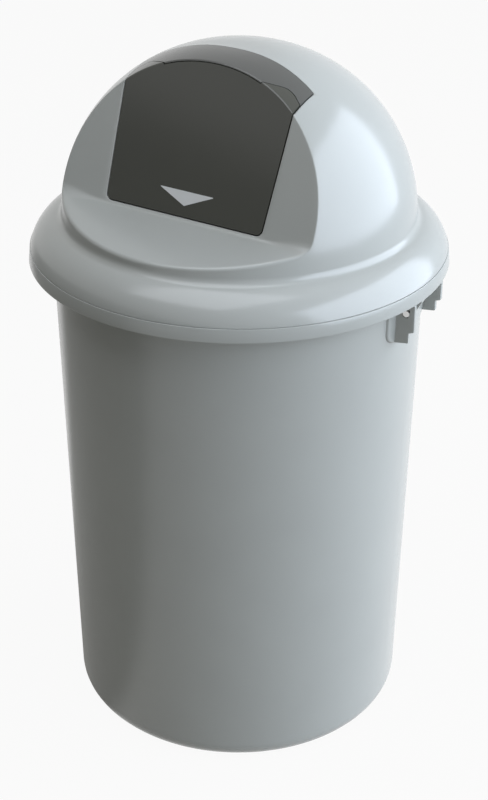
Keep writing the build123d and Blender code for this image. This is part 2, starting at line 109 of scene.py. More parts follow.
# Shared forms
def unit(v):
    # each vector over its length
    return v / np.maximum(np.linalg.norm(v, axis=-1, keepdims=True), 1e-12)


def flatRing(direction):
    # the small ring's point that lies in each direction's plan: its flat part scaled to the ring's radius
    flat = np.maximum(np.linalg.norm(direction[..., :2], axis=-1, keepdims=True), 1e-9)
    height = np.full_like(flat, dome["sideHeight"])
    return np.concatenate([direction[..., :2] / flat * dome["ring"], height], axis=-1)


def domePoint(normal, inset=0.0):
    # the dome's point for each outward unit normal, a radius along it from the centre: the side arc's runs on
    # the small ring, and the crown's lies on the axis
    side = flatRing(normal) + (dome["sideRadius"] - inset) * normal
    crown = np.array([0.0, 0.0, dome["crownHeight"]]) + (dome["crownRadius"] - inset) * normal
    return np.where(normal[..., 2:] < math.sin(dome["sideEnd"]), side, crown)


def domeNormal(point):
    # the dome's outward normal at a point on or under it: away from the small ring, or near the top away from
    # the crown's centre
    side = unit(point - flatRing(point))
    crown = unit(point - np.array([0.0, 0.0, dome["crownHeight"]]))
    return np.where(side[..., 2:] < math.sin(dome["sideEnd"]), side, crown)


def domeReach(z, inset):
    # the dome's radius at a height
    rise = np.clip((z - dome["sideHeight"]) / (dome["sideRadius"] - inset), -1, 1)
    return dome["ring"] + (dome["sideRadius"] - inset) * np.sqrt(1 - rise ** 2)


def domeHeight(x, y, inset):
    # the dome's height over a place in plan
    flat = np.hypot(x, y)
    sideEdge = dome["ring"] + (dome["sideRadius"] - inset) * math.cos(dome["sideEnd"])
    sideRise = np.sqrt(np.maximum((dome["sideRadius"] - inset) ** 2 - (flat - dome["ring"]) ** 2, 0))
    crownRise = np.sqrt(np.maximum((dome["crownRadius"] - inset) ** 2 - flat ** 2, 0))
    return np.where(flat > sideEdge, dome["sideHeight"] + sideRise, dome["crownHeight"] + crownRise)


def solve(function, low, high, steps=60):
    # bisection on whole arrays: where the function turns from negative to positive
    low, high = np.broadcast_arrays(np.asarray(low, float), np.asarray(high, float))
    for _ in range(steps):
        middle = (low + high) / 2
        under = function(middle) < 0
        low, high = np.where(under, middle, low), np.where(under, high, middle)
    return (low + high) / 2


def slerp(a, b, t):
    # turns unit vectors a into b along great circles; t has the last axis
    angle = np.arccos(np.clip(np.sum(a * b, axis=-1, keepdims=True), -1, 1))
    small = angle < 1e-6
    safe = np.where(small, 1.0, np.sin(angle))
    first = np.where(small, 1 - t, np.sin((1 - t) * angle) / safe)
    second = np.where(small, t, np.sin(t * angle) / safe)
    return unit(first * a + second * b)


def smooth(value, low, high):
    # 0 to 1 between two limits, by 3 t^2 - 2 t^3
    t = np.clip((value - low) / (high - low), 0, 1)
    return t * t * (3 - 2 * t)


def onFace(x, up, behind=0.0):
    # a place given across, up the leaning face from the bend, and behind it
    x, up, behind = np.broadcast_arrays(*[np.asarray(v, float) for v in (x, up, behind)])
    return bendPoint - x[..., None] * towardMiddle + up[..., None] * faceUp - behind[..., None] * faceOut


def behindFace(point):
    # how far a point lies behind the leaning face: its way to the bend along the face's normal
    return (bendPoint - point) @ faceOut


def domeBehindFace(across, behind, inset):
    # the dome's point at a place across and a distance behind the face, found along Y by bisection
    across, behind = np.broadcast_arrays(np.asarray(across, float), np.asarray(behind, float))

    def point(y):
        return np.stack([across, y, domeHeight(across, y, inset)], axis=-1)

    low, high = 0 * across + domeSearch[0], 0 * across + domeSearch[1]
    return point(solve(lambda y: behindFace(point(y)) - behind, low, high))


def arcPoints(center, radius, start, end, count):
    # the centre plus (r cos a, r sin a), for evenly spread angles
    a = np.linspace(start, end, count)
    return np.stack([center[0] + radius * np.cos(a), center[1] + radius * np.sin(a)], -1)


class Shell:
    # collects grids of points, and makes one closed, welded piece of them
    def __init__(self):
        self.points = []
        self.faces = []
        self.count = 0

    def grid(self, points, mirrored=False):
        # adds a grid's quads, and the same mirrored across the middle plane
        rows, columns = points.shape[:2]
        index = np.arange(rows * columns).reshape(rows, columns) + self.count
        quads = np.stack([index[:-1, :-1], index[1:, :-1], index[1:, 1:], index[:-1, 1:]], axis=-1)
        self.points.append(points.reshape(-1, 3))
        self.faces.append(quads.reshape(-1, 4))
        self.count += rows * columns
        if mirrored:
            self.grid(points * np.array([-1.0, 1, 1]))

    def piece(self, name, body, slotName, material, sharp=38.0, weld=0.004):
        # welds near points, drops what has no area, winds each part's faces one way, and shades them smooth
        mesh = bpy.data.meshes.new(name)
        mesh.from_pydata(np.concatenate(self.points) * mm, [], np.concatenate(self.faces).tolist())
        work = bmesh.new()
        work.from_mesh(mesh)
        bmesh.ops.remove_doubles(work, verts=work.verts, dist=weld * mm)
        bmesh.ops.dissolve_degenerate(work, edges=work.edges, dist=weld * mm / 2)
        bmesh.ops.recalc_face_normals(work, faces=work.faces)
        bmesh.ops.delete(work, geom=[e for e in work.edges if not e.link_faces], context="EDGES")
        openEdges = sum(1 for e in work.edges if len(e.link_faces) != 2)
        if openEdges:
            print(name, "open edges", openEdges)
        work.to_mesh(mesh)
        work.free()
        mesh.shade_smooth()
        mesh.set_sharp_from_angle(angle=math.radians(sharp))
        obj = bpy.data.objects.new(name, mesh)
        bpy.context.scene.collection.objects.link(obj)
        mesh.materials.append(material)
        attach(obj, body)
        return obj


def ringGrid(profile, turns):
    # a profile of (radius, height) turned about the upright axis; turn 0 is the front, towards -Y
    r, z = profile[None, :, 0], profile[None, :, 1]
    a = turns[:, None]
    return np.stack([r * np.sin(a), -r * np.cos(a), z + 0 * a], axis=-1)


def rimGrid(edge, normal, inward, inner, radius, steps=4):
    # rounds an edge: a quarter circle from the surface's normal to the opening's side, then straight to the
    # inner edge
    t = np.linspace(0, math.pi / 2, steps)[None, :, None]
    aim = np.sin(t) * inward[:, None] + np.cos(t) * normal[:, None]
    arc = edge[:, None] - radius * normal[:, None] + radius * aim
    return np.concatenate([arc, inner[:, None]], axis=1)


def roundedLoop(points, radii, steps=5):
    # a closed outline, anticlockwise, with an arc of radius r at each corner: the arc's centre lies r from
    # both sides, and its ends lie r tan(turn / 2) from the corner; returns points and outward normals
    points = np.asarray(points, float)
    radii = np.broadcast_to(radii, len(points))
    before = unit(points - np.roll(points, 1, axis=0))
    after = unit(np.roll(points, -1, axis=0) - points)
    turn = np.arctan2(before[:, 0] * after[:, 1] - before[:, 1] * after[:, 0], np.sum(before * after, axis=1))
    out = np.stack([before[:, 1], -before[:, 0]], axis=-1)
    start = np.arctan2(out[:, 1], out[:, 0])
    side = np.where(turn < 0, -1.0, 1.0)
    reach = radii * np.tan(np.abs(turn) / 2)
    center = points - before * reach[:, None] - out * (side * radii)[:, None]
    angle = start[:, None] + turn[:, None] * np.linspace(0, 1, steps)[None, :]
    normal = np.stack([np.cos(angle), np.sin(angle)], axis=-1)
    place = center[:, None] + (side * radii)[:, None, None] * normal
    return place.reshape(-1, 2), normal.reshape(-1, 2)


def roundedLine(points, radii, steps=5):
    # the same along an open line; radii has one value per inner corner
    points = np.asarray(points, float)
    loop, _ = roundedLoop(points, [0.0, *radii, 0.0], steps)
    return np.concatenate([points[:1], loop[steps:-steps], points[-1:]])


def close(loop):
    # repeats the first point at the end
    return np.concatenate([loop, loop[:1]])


def roundedSides(points, normals, start, end, edge, steps=4):
    # loops of a plate's outline from start to end, whose two edges are quarter circles of radius edge
    loops = []
    for low, sign in ((start, 1.0), (end, -1.0)):
        part = []
        for a in np.linspace(0, math.pi / 2, steps):
            flat = points - edge * (1 - math.sin(a)) * normals
            part.append(np.column_stack([flat, np.full(len(flat), low + sign * edge * (1 - math.cos(a)))]))
        loops += part if sign > 0 else part[::-1]
    return loops


def platePoints(points, normals, hole, holes, start, end, edge):
    # a plate with rounded edges and a stepped bore about the point hole: holes lists (radius, place) pairs
    # along it, and a radius of 0 closes a side; each loop holds (across, up, along)
    loops = roundedSides(points, normals, start, end, edge)
    aim = unit(points - np.asarray(hole, float))
    for radius, place in holes:
        loops.append(np.column_stack([hole + radius * aim, np.full(len(points), place)]))
    loops.append(loops[0])
    return np.stack([close(loop) for loop in loops])


def turnedPoints(profile, count):
    # a profile of (radius, along) from axis to axis, turned about its axis: (r cos a, r sin a, along)
    a = np.linspace(0, 2 * math.pi, count + 1)[:, None]
    r, h = profile[None, :, 0], profile[None, :, 1]
    return np.stack([r * np.cos(a), r * np.sin(a), h + 0 * a], axis=-1)


def turnAbout(points, angle):
    # turns points about the upright axis
    c, s = math.cos(angle), math.sin(angle)
    x, y = points[..., 0], points[..., 1]
    return np.stack([c * x - s * y, s * x + c * y, points[..., 2]], axis=-1)


# Materials
finishes = {
    "greyPlastic": {"color": (0.37, 0.381, 0.358), "roughness": 0.19, "grain": 900, "bump": 0.03},
    "flapPlastic": {"color": (0.053, 0.054, 0.0435), "roughness": 0.1, "grain": 1500, "bump": 0.03},
    # painted light: the cover's colour is lighter than the flap's, standing in for the light that falls on
    # its upward faces from above
    "coverPlasticPaintedLight": {"color": (0.08, 0.0805, 0.073), "roughness": 0.2, "grain": 1500, "bump": 0.06},
    "capPlastic": {"color": (0.09, 0.09, 0.09), "roughness": 0.5, "grain": 1200, "bump": 0.2},
    "rubber": {"color": (0.02, 0.02, 0.02), "roughness": 0.75, "grain": 1200, "bump": 0.3},
    "markPrint": {"color": (0.62, 0.63, 0.62), "roughness": 0.45, "grain": 1500, "bump": 0.1},
    "brightSteel": {"color": (0.62, 0.62, 0.61), "roughness": 0.32},
    "zincSteel": {"color": (0.5, 0.51, 0.52), "roughness": 0.42},
}
grain = {
    "depth": 0.0002,  # metres of relief at a bump of 1
    "detail": 3,
    "cloudScale": 14,
    "cloudDetail": 4,
    "colorShift": 0.04,
    "roughnessShift": 0.03,
    "streakScale": 700,
    "streakShift": 0.08,
}
colorA, colorB, mixedColor = 6, 7, 2  # a colour Mix node's sockets


def addNode(tree, kind, operation=None, values=()):
    # a node with its operation and plain input values, set by place or name
    node = tree.nodes.new(kind)
    if operation:
        node.operation = operation
    for place, value in values:
        node.inputs[place].default_value = value
    return node


def newMaterial(name, color, roughness, metallic=0.0, specular=0.5):
    # a material with plain values on its shader
    material = bpy.data.materials.new(name)
    material.use_nodes = True
    shader = material.node_tree.nodes["Principled BSDF"]
    shader.inputs["Base Color"].default_value = (*color, 1)
    shader.inputs["Roughness"].default_value = roughness
    shader.inputs["Metallic"].default_value = metallic
    shader.inputs["Specular IOR Level"].default_value = specular
    return material, material.node_tree, shader


def linkRoughness(tree, shader, noise, roughness, shift):
    # the noise moves the roughness by up to shift to both sides
    limits = [("To Min", roughness - shift), ("To Max", roughness + shift)]
    spread = addNode(tree, "ShaderNodeMapRange", None, limits)
    tree.links.new(noise.outputs["Fac"], spread.inputs["Value"])
    tree.links.new(spread.outputs["Result"], shader.inputs["Roughness"])


def plastic(name):
    # moulded plastic: fine noise in object space drives a small bump, and broad noise a slight cloudiness of
    # colour and roughness
    look = finishes[name]
    material, tree, shader = newMaterial(name, look["color"], look["roughness"])
    coords = tree.nodes.new("ShaderNodeTexCoord")
    fine = addNode(tree, "ShaderNodeTexNoise", None, [("Scale", look["grain"]), ("Detail", grain["detail"])])
    broad = addNode(tree, "ShaderNodeTexNoise", None, [
        ("Scale", grain["cloudScale"]), ("Detail", grain["cloudDetail"])])
    tree.links.new(coords.outputs["Object"], fine.inputs["Vector"])
    tree.links.new(coords.outputs["Object"], broad.inputs["Vector"])
    tone = tree.nodes.new("ShaderNodeMix")
    tone.data_type = "RGBA"
    tone.inputs[colorA].default_value = (*[c * (1 - grain["colorShift"]) for c in look["color"]], 1)
    tone.inputs[colorB].default_value = (*[c * (1 + grain["colorShift"]) for c in look["color"]], 1)
    tree.links.new(broad.outputs["Fac"], tone.inputs["Factor"])
    tree.links.new(tone.outputs[mixedColor], shader.inputs["Base Color"])
    linkRoughness(tree, shader, broad, look["roughness"], grain["roughnessShift"])
    relief = addNode(tree, "ShaderNodeBump", None, [("Strength", look["bump"]), ("Distance", grain["depth"])])
    tree.links.new(fine.outputs["Fac"], relief.inputs["Height"])
    tree.links.new(relief.outputs["Normal"], shader.inputs["Normal"])
    return material


def steel(name):
    # drawn steel: fine noise shifts the roughness
    look = finishes[name]
    material, tree, shader = newMaterial(name, look["color"], look["roughness"], metallic=1.0)
    coords = tree.nodes.new("ShaderNodeTexCoord")
    streaks = addNode(tree, "ShaderNodeTexNoise", None, [("Scale", grain["streakScale"])])
    tree.links.new(coords.outputs["Object"], streaks.inputs["Vector"])
    linkRoughness(tree, shader, streaks, look["roughness"], grain["streakShift"])
    return material


greyPlastic = plastic("greyPlastic")
slotMaterials = {
    "grey_plastic": greyPlastic,
    "flap_plastic": plastic("flapPlastic"),
    # the cover's plastic carries painted light from above in its lighter colour
    "cover_plastic": plastic("coverPlasticPaintedLight"),
    "cap_plastic": plastic("capPlastic"),
    "steel": steel("brightSteel"),
    "spring_steel": steel("zincSteel"),
    "bumper_rubber": plastic("rubber"),
}
slotOf = {s["node"]: s["material_slot"] for s in frame["record"]["subparts"]}
for node, obj in frame["nodes"].items():
    for place in obj.material_slots:
        place.material = slotMaterials[slotOf[node]]
print("materials done")

# The hood's skin
gridSteps = {
    # points along each stretch of the skin
    "tip": 4000,  # tried in the search for the sill's tip
    "sill": 37,
    "bend": 22,
    "corner": 8,
    "side": 20,
    "above": 5,
    "strip": 7,
    "middle": 25,  # from the middle to the window's corner
    "outside": 10,  # from there to the border
    "cheek": 10,
    "windowSide": 14,
    "windowRear": 23,
    "page": 46,
    "evenFrom": 4,  # columns are spread evenly this many rows after the sill
    "roll": 26,
    "valley": 11,
}


def bendTangent(radius):
    # from the bend to the ends of its arc: radius tan(turn / 2)
    return radius * math.tan((math.pi / 2 - lean - fall) / 2)


def recessRow(along, inset, radius):
    # a point and outward normal of the recess's profile: along is negative down the sill and positive up the
    # face, and between them lies the bend's arc
    along, radius = np.broadcast_arrays(np.asarray(along, float), np.asarray(radius, float))
    along, radius = along[..., None], radius[..., None]
    tangent = bendTangent(radius)
    center = bendPoint + tangent * sillOut + radius * sillUp
    start = fall + math.pi / 2
    part = np.clip((along + tangent) / (2 * tangent), 0, 1)
    angle = start + (math.pi - lean - start) * part
    normal = np.concatenate([0 * angle, np.cos(angle), np.sin(angle)], axis=-1)
    arc = center - (radius + inset) * normal
    sill = bendPoint - along * sillOut - inset * sillUp
    face = bendPoint + along * faceUp - inset * faceOut
    return np.where(along <= -tangent, sill, np.where(along >= tangent, face, arc)), normal


def recessGrid(across, along, inset, border):
    # points of the recess: the profile's rows, with each row's own places across; the bend's radius grows
    # smoothly towards the row's border
    widest = np.maximum(border[:, None], recess["bendFrom"] + 1.0)
    growth = (recess["bendEnd"] - recess["bendRadius"]) * smooth(across, recess["bendFrom"], widest)
    point, _ = recessRow(np.asarray(along, float)[:, None], inset, recess["bendRadius"] + growth)
    return np.concatenate([across[..., None], point[..., 1:]], axis=-1)


def edgeRound(along):
    # the edge rounding shrinks smoothly from the sill's to the cheeks' round the bend
    share = smooth(np.asarray(along, float), recess["roundFrom"], recess["roundTo"])
    return recess["sillRound"] + (recess["cheekRound"] - recess["sillRound"]) * share


def ballCenter(along, inset, rounding):
    # centre of the ball that touches dome and recess from inside: it lies a radius under the recess, and as
    # far across as the dome that is smaller by a radius
    radius = np.broadcast_to(edgeRound(along) if rounding is None else rounding, np.shape(along))
    point, normal = recessRow(along, 0.0, recess["bendEnd"])
    point = point - (inset + radius)[:, None] * normal
    reach = domeReach(point[:, 2], inset + radius)
    across = np.sqrt(np.maximum(reach ** 2 - point[:, 1] ** 2, 0))
    return np.concatenate([across[:, None], point[:, 1:]], axis=-1), normal, radius


def lowRows(inset, rounding, edge):
    # places along the profile from the sill's tip, closer together there, through the bend to the window
    tangent = float(bendTangent(recess["bendEnd"]))
    front = np.linspace(*recess["tipSearch"], gridSteps["tip"])
    tip = front[np.argmax(ballCenter(front, inset, rounding)[0][:, 0] > 0)]
    sill = tip + (-tangent - tip) * np.linspace(0, 1, gridSteps["sill"]) ** 2
    return np.concatenate([sill, np.linspace(-tangent, window["bottom"] - edge, gridSteps["bend"])[1:]])


def windowSide(inset, rounding, edge):
    # one side of the window in the face, grown by the edge's rounding: an arc about the corner's centre, the
    # leaning side, and straight up from the window's top to the face's end; inward points into the opening
    slope = (window["topHalf"] - window["bottomHalf"]) / (window["top"] - window["bottom"])
    tilt = math.atan(slope)
    corner = window["corner"]
    cornerX = window["bottomHalf"] + slope * corner - corner / math.cos(tilt)
    topAcross = window["topHalf"] + edge
    turn = np.linspace(-math.pi / 2, -tilt, gridSteps["corner"])
    cornerUp = window["bottom"] + corner + (corner + edge) * np.sin(turn)
    cornerUp[0] = window["bottom"] - edge
    end = solve(lambda up: topAcross - ballCenter(up, inset, rounding)[0][:, 0],
                [window["top"] + window["topSearch"][0]], [window["top"] + window["topSearch"][1]])
    sideUp = np.linspace(cornerUp[-1], window["top"], gridSteps["side"])[1:]
    aboveUp = np.linspace(window["top"], end[0], gridSteps["above"])[1:]
    sideAcross = window["bottomHalf"] + slope * (sideUp - window["bottom"]) + edge / math.cos(tilt)
    aim = turn[1:, None]
    sideInward = math.cos(tilt) * towardMiddle + math.sin(tilt) * faceUp
    return {
        "up": np.concatenate([cornerUp, sideUp, aboveUp]),
        "across": np.concatenate([cornerX + (corner + edge) * np.cos(turn), np.minimum(sideAcross, topAcross),
                                  np.full(len(aboveUp), topAcross)]),
        "inward": np.concatenate([np.cos(aim) * towardMiddle - np.sin(aim) * faceUp,
                                  np.tile(sideInward, (len(sideUp), 1)),
                                  np.tile(towardMiddle, (len(aboveUp), 1))]),
        "cornerX": cornerX,
        "topAcross": topAcross,
    }


def edgeStrip(rows, inset, rounding, topAcross):
    # the rounding between recess and dome: each row turns about its ball's centre from the recess's normal to
    # the dome's, and the last row is stretched to end at the window's side
    center, normal, radius = ballCenter(rows, inset, rounding)
    center[0, 0] = 0.0
    t = np.linspace(0, 1, gridSteps["strip"])[None, :, None]
    turned = slerp(normal[:, None], domeNormal(center)[:, None], t)
    strip = center[:, None] + radius[:, None, None] * turned
    stretch = (topAcross - strip[-2, :, 0]) / (strip[-1, :, 0] - strip[-2, :, 0])
    strip[-1] = strip[-2] + stretch[:, None] * (strip[-1] - strip[-2])
    return strip, turned[-1], center[:, 0]


def windowTop(start, topAcross, edge, inset):
    # the dome's normals, found under the edge's rounding, and the ways into the opening round the window's
    # upper part: back along the side from the strip's end, then along the rear to the middle
    rearAt = window["depth"] + edge
    sideBehind = np.linspace(behindFace(start), rearAt, gridSteps["windowSide"])[1:]
    rearAcross = topAcross * (1 - np.linspace(0, 1, gridSteps["windowRear"])[1:])
    side = domeBehindFace(topAcross, sideBehind, inset + edge)
    rear = domeBehindFace(rearAcross, rearAt, inset + edge)
    inward = np.concatenate([np.tile(towardMiddle, (len(side) - 1, 1)), [towardMiddle + faceOut],
                             np.tile(faceOut, (len(rear), 1))])
    return domeNormal(np.concatenate([side, rear])), inward


def hoodHalf(inset, rounding, edge, columns=None):
    # one half of the hood's skin at an inset: its grids, the turns of its columns, and the window's border
    low = lowRows(inset, rounding, edge)
    side = windowSide(inset, rounding, edge)
    up, cornerX, topAcross = side["up"], side["cornerX"], side["topAcross"]
    strip, stripNormal, reach = edgeStrip(np.concatenate([low, up[1:]]), inset, rounding, topAcross)
    # sill, bend and the strip of face under the window
    count = len(low)
    border = reach[:count]
    knot = (cornerX * border / border[-1])[:, None]
    inner = knot * np.linspace(0, 1, gridSteps["middle"])
    outer = knot + (border[:, None] - knot) * np.linspace(0, 1, gridSteps["outside"])[1:]
    sill = recessGrid(np.concatenate([inner, outer], axis=1), low, inset, border)
    # cheek beside the window
    cheekBorder = np.append(reach[count - 1:-1], topAcross)
    span = np.linspace(0, 1, gridSteps["cheek"])
    cheekAcross = side["across"][:, None] * (1 - span) + cheekBorder[:, None] * span
    cheek = recessGrid(cheekAcross, up, inset, cheekBorder)
    # pages of the dome from the ring above the shoulder to the recess and the window
    topNormal, topInward = windowTop(strip[-1, -1], topAcross, edge, inset)
    topEdge = domePoint(topNormal, inset)
    domeBorder = np.concatenate([strip[:, -1], topEdge])
    borderNormal = np.concatenate([domeNormal(strip[:, -1]), topNormal])
    if columns is None:
        columns = np.arctan2(domeBorder[:, 0], -domeBorder[:, 1])
        columns[0] = 0.0
        even = gridSteps["sill"] + gridSteps["evenFrom"]
        columns[even:] = np.linspace(columns[even], math.pi, len(columns) - even)
    foot = ringGrid(np.array([[math.cos(ringAngle), math.sin(ringAngle)]]), columns)
    foot[[0, -1], 0, 0] = 0.0
    t = np.linspace(0, 1, gridSteps["page"])[None, :, None]
    pages = domePoint(slerp(foot, borderNormal[:, None], t), inset)
    pages[:, -1] = domeBorder
    # border of the window: bottom and side in the face, the strip's end, the dome
    bottomAcross = np.linspace(0, 1, gridSteps["middle"]) * cornerX
    bottom = recessGrid(bottomAcross[None], low[-1:], inset, cheekBorder[:1])[0]
    sideEdge = recessGrid(side["across"][1:, None], up[1:], inset, cheekBorder[1:])[:, 0]
    faceCount = len(bottom) + len(sideEdge)
    return {
        "strip": strip,
        "sill": sill,
        "cheek": cheek,
        "pages": pages,
        "columns": columns,
        "edges": np.concatenate([bottom, sideEdge, strip[-1, 1:], topEdge]),
        "normals": np.concatenate([np.tile(faceOut, (faceCount, 1)), stripNormal[1:], topNormal]),
        "inward": np.concatenate([np.tile(faceUp, (len(bottom), 1)), side["inward"],
                                  np.tile(towardMiddle, (len(stripNormal) - 1, 1)), topInward]),
    }


def shoulderCenters():
    # centres of dome side, roll and valley: the valley's arc touches both others, so its centre is where the
    # circles about theirs cross, each larger by the valley's radius
    side = np.array([dome["ring"], dome["sideHeight"]])
    roll = np.array([shoulder["rollRing"], shoulder["rollHeight"]])
    first = dome["sideRadius"] + shoulder["valleyRadius"]
    second = shoulder["rollRadius"] + shoulder["valleyRadius"]
    apart = roll - side
    length = np.linalg.norm(apart)
    alongLine = (first ** 2 - second ** 2 + length ** 2) / (2 * length)
    acrossLine = math.sqrt(first ** 2 - alongLine ** 2)
    valley = side + alongLine * apart / length + acrossLine * np.array([-apart[1], apart[0]]) / length
    return side, roll, valley


sideCenter, rollCenter, valleyCenter = shoulderCenters()
ringAngle = math.atan2(valleyCenter[1] - sideCenter[1], valleyCenter[0] - sideCenter[0])
rollHigh = math.atan2(valleyCenter[1] - rollCenter[1], valleyCenter[0] - rollCenter[0])
rollLow = math.asin((shoulder["rollStart"] - shoulder["rollHeight"]) / shoulder["rollRadius"])


def shoulderProfile(inset):
    # from the skirt's top up over the roll's arc and through the valley's arc to the dome
    roll = arcPoints(rollCenter, shoulder["rollRadius"] - inset, rollLow, rollHigh, gridSteps["roll"])
    start, end = rollHigh + math.pi, ringAngle + math.pi
    valley = arcPoints(valleyCenter, shoulder["valleyRadius"] + inset, start, end, gridSteps["valley"])
    return np.concatenate([roll, valley[1:]])


def skirtProfile():
    # the hood's foot: down the inside, round the lower edge, up the outer skirt to the small step, into the
    # fine groove and on over the shoulder
    wall, bottom, top = dome["wall"], shoulder["skirtBottom"], shoulder["skirtTop"]
    out, topOut = shoulder["skirtRadius"], shoulder["skirtTopRadius"]
    edge, step = shoulder["skirtRound"], shoulder["stepRound"]
    stepStart = 0.1  # radians above level
    grooveIn, grooveTop = topOut - shoulder["grooveDepth"], top + shoulder["grooveWidth"]
    return np.concatenate([
        shoulderProfile(wall)[::-1],
        [[topOut - wall, top], [out - wall, bottom + edge]],
        arcPoints((out - wall + edge, bottom + edge), edge, math.pi, 1.5 * math.pi, 5),
        arcPoints((out - edge, bottom + edge), edge, -0.5 * math.pi, 0, 5),
        arcPoints((topOut - step, top - step), step, stepStart, math.pi / 2, 4),
        [[grooveIn, top], [grooveIn, grooveTop]],
        shoulderProfile(0.0),
    ])


def buildHoodSkin():
    # both halves of the outer and the inner skin, joined by the foot's profile and the window's rim; the
    # inner dome follows the outer one's columns to meet the foot
    edge = window["edgeRound"]
    outer = hoodHalf(0.0, None, edge)
    inner = hoodHalf(dome["wall"], 0.0, 0.0, outer["columns"])
    shell = Shell()
    shell.grid(ringGrid(skirtProfile(), outer["columns"]), mirrored=True)
    for part in ("strip", "sill", "cheek", "pages"):
        shell.grid(outer[part], mirrored=True)
    for part in ("sill", "cheek", "pages"):
        shell.grid(inner[part], mirrored=True)
    rim = rimGrid(outer["edges"], outer["normals"], outer["inward"], inner["edges"], edge)
    shell.grid(rim, mirrored=True)
    return shell


hoodSkin = buildHoodSkin().piece("hoodSkin", "hood", "grey_plastic", greyPlastic)
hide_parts("hood")
print("hood", len(hoodSkin.data.vertices), "points")

# The hood's inside: seat ribs, hinge arms, bearing lugs and screw bosses
rib = {
    "count": 18,
    "freeAngle": 26.0,  # no ribs this near to the hinge
    "thickness": 2.4,
    "inside": 178.5,
    "outside": 188.5,
    "foot": 492.3,
    "corner": 0.5,
    "edge": 0.4,
}
hinge = {
    "turn": 8.1,
    "pinDistance": 181.0,
    "pinHeight": 466.5,
    "bore": 2.55,
    "sink": 4.2,
    "sinkDepth": 2.6,
    "sinkEdge": 0.4,
    "earHalfSpan": 40.3,
    "earThickness": 5.0,
}
hingeTurn = math.radians(hinge["turn"])
arm = {
    "knuckle": 5.5,
    "knuckleFrom": 95.0,
    "knuckleTo": 335.0,
    "width": 9.3,
    "gap": 0.5,  # to the ear
    "edge": 0.5,
    "inside": 187.6,
    "lowOut": 193.0,
    "low": 477.0,
    "high": 480.5,
    "blockLow": 477.5,
    "blockStep": 479.8,
    "blockTop": 489.0,
    "blockIn": 192.9,
    "blockOut": 194.3,
    "blockMiddle": (190.5, 484.0),
    "followFrom": 193.2,  # the block follows the skirt's wall outside this distance
    "rounds": (0.4, 0.2, 0.2),
    "blockRound": 0.3,
}
lug = {
    "half": 89.4,
    "thickness": 4.0,
    "radius": 8.0,
    "axleUp": 99.0,
    "axleDepth": 12.3,
    "bore": 2.05,
    "edge": 0.4,
    "front": 1.3,
    "corner": 0.3,
}
boss = {
    "radius": 3.2,
    "bore": 1.43,
    "length": 5.4,
    "setback": 34.1,
    "places": (-60.0, -26.0, 26.0, 60.0),
    "rounds": (0.1, 0.4, 0.2, 0.1),
    "from": 0.5,  # the tube starts at this share of the wall
    "floor": 0.8,  # and its bore ends at this one
}


def shoulderHeight(reach, inset):
    # height of the round shoulder's skin over a radius, at an inset from the outside
    rise = (shoulder["rollRadius"] - inset) ** 2 - (reach - shoulder["rollRing"]) ** 2
    return shoulder["rollHeight"] + np.sqrt(np.maximum(rise, 0))


def hingePlace(points, further=0.0):
    # from (outwards, up, along the hinge) to the frame, or turned further from the hinge
    return turnAbout(np.stack([points[..., 0], points[..., 2], points[..., 1]], axis=-1), hingeTurn + further)


def buildRibs():
    # each rib is a plate whose top follows the shoulder, ending in the middle of the hood's wall
    reach = np.linspace(rib["outside"], rib["inside"], 9)
    top = np.stack([reach, shoulderHeight(reach, dome["wall"] / 2)], axis=-1)
    corners = np.concatenate([[[rib["inside"], rib["foot"]], [rib["outside"], rib["foot"]]], top])
    points, normals = roundedLoop(corners, [rib["corner"]] * 2 + [0.0] * len(top), 4)
    half = rib["thickness"] / 2
    middle = np.tile(np.mean(points, axis=0), (len(points), 1))
    low, high = [np.column_stack([middle, np.full(len(points), place)]) for place in (-half, half)]
    plate = roundedSides(points, normals, -half, half, rib["edge"])
    loops = np.stack([close(loop) for loop in [low, *plate, high]])
    shell = Shell()
    step = 360.0 / rib["count"]
    for i in range(rib["count"]):
        angle = (i + 0.5) * step
        if min(angle, 360 - angle) >= rib["freeAngle"]:
            shell.grid(hingePlace(loops, math.radians(angle)))
    return shell


def buildArms():
    # a knuckle round the pin with an arm up to the skirt, and a block that joins it to the skirt's wall
    pin = (hinge["pinDistance"], hinge["pinHeight"])
    first, last = math.radians(arm["knuckleFrom"]), math.radians(arm["knuckleTo"])
    knuckle = arcPoints(pin, arm["knuckle"], first, last, 17)
    low = [(arm["lowOut"], arm["low"]), (arm["lowOut"], arm["high"]), (arm["inside"], arm["high"])]
    lowRounds = [*arm["rounds"]] + [0.0] * len(knuckle)
    lowLoop, lowNormal = roundedLoop(np.concatenate([low, knuckle]), lowRounds, 4)
    high = [
        (arm["inside"], arm["blockLow"]),
        (arm["blockIn"], arm["blockLow"]),
        (arm["blockIn"], arm["blockStep"]),
        (arm["blockOut"], arm["blockStep"]),
        (arm["blockOut"], arm["blockTop"]),
        (arm["inside"], arm["blockTop"]),
    ]
    highLoop, highNormal = roundedLoop(high, arm["blockRound"], 4)
    outer = hinge["earHalfSpan"] - hinge["earThickness"] - arm["gap"]
    shell = Shell()
    for start in (-outer, outer - arm["width"]):
        end = start + arm["width"]
        bore = [(hinge["bore"], end), (hinge["bore"], start)]
        shell.grid(hingePlace(platePoints(lowLoop, lowNormal, pin, bore, start, end, arm["edge"])))
        filled = [(0.0, end), (0.0, start)]
        block = platePoints(highLoop, highNormal, arm["blockMiddle"], filled, start, end, arm["edge"])
        reach = np.sqrt((shoulder["skirtRadius"] - dome["wall"] / 2) ** 2 - block[..., 2] ** 2)
        block[..., 0] = np.where(block[..., 0] > arm["followFrom"], reach, block[..., 0])
        shell.grid(hingePlace(block))
    return shell


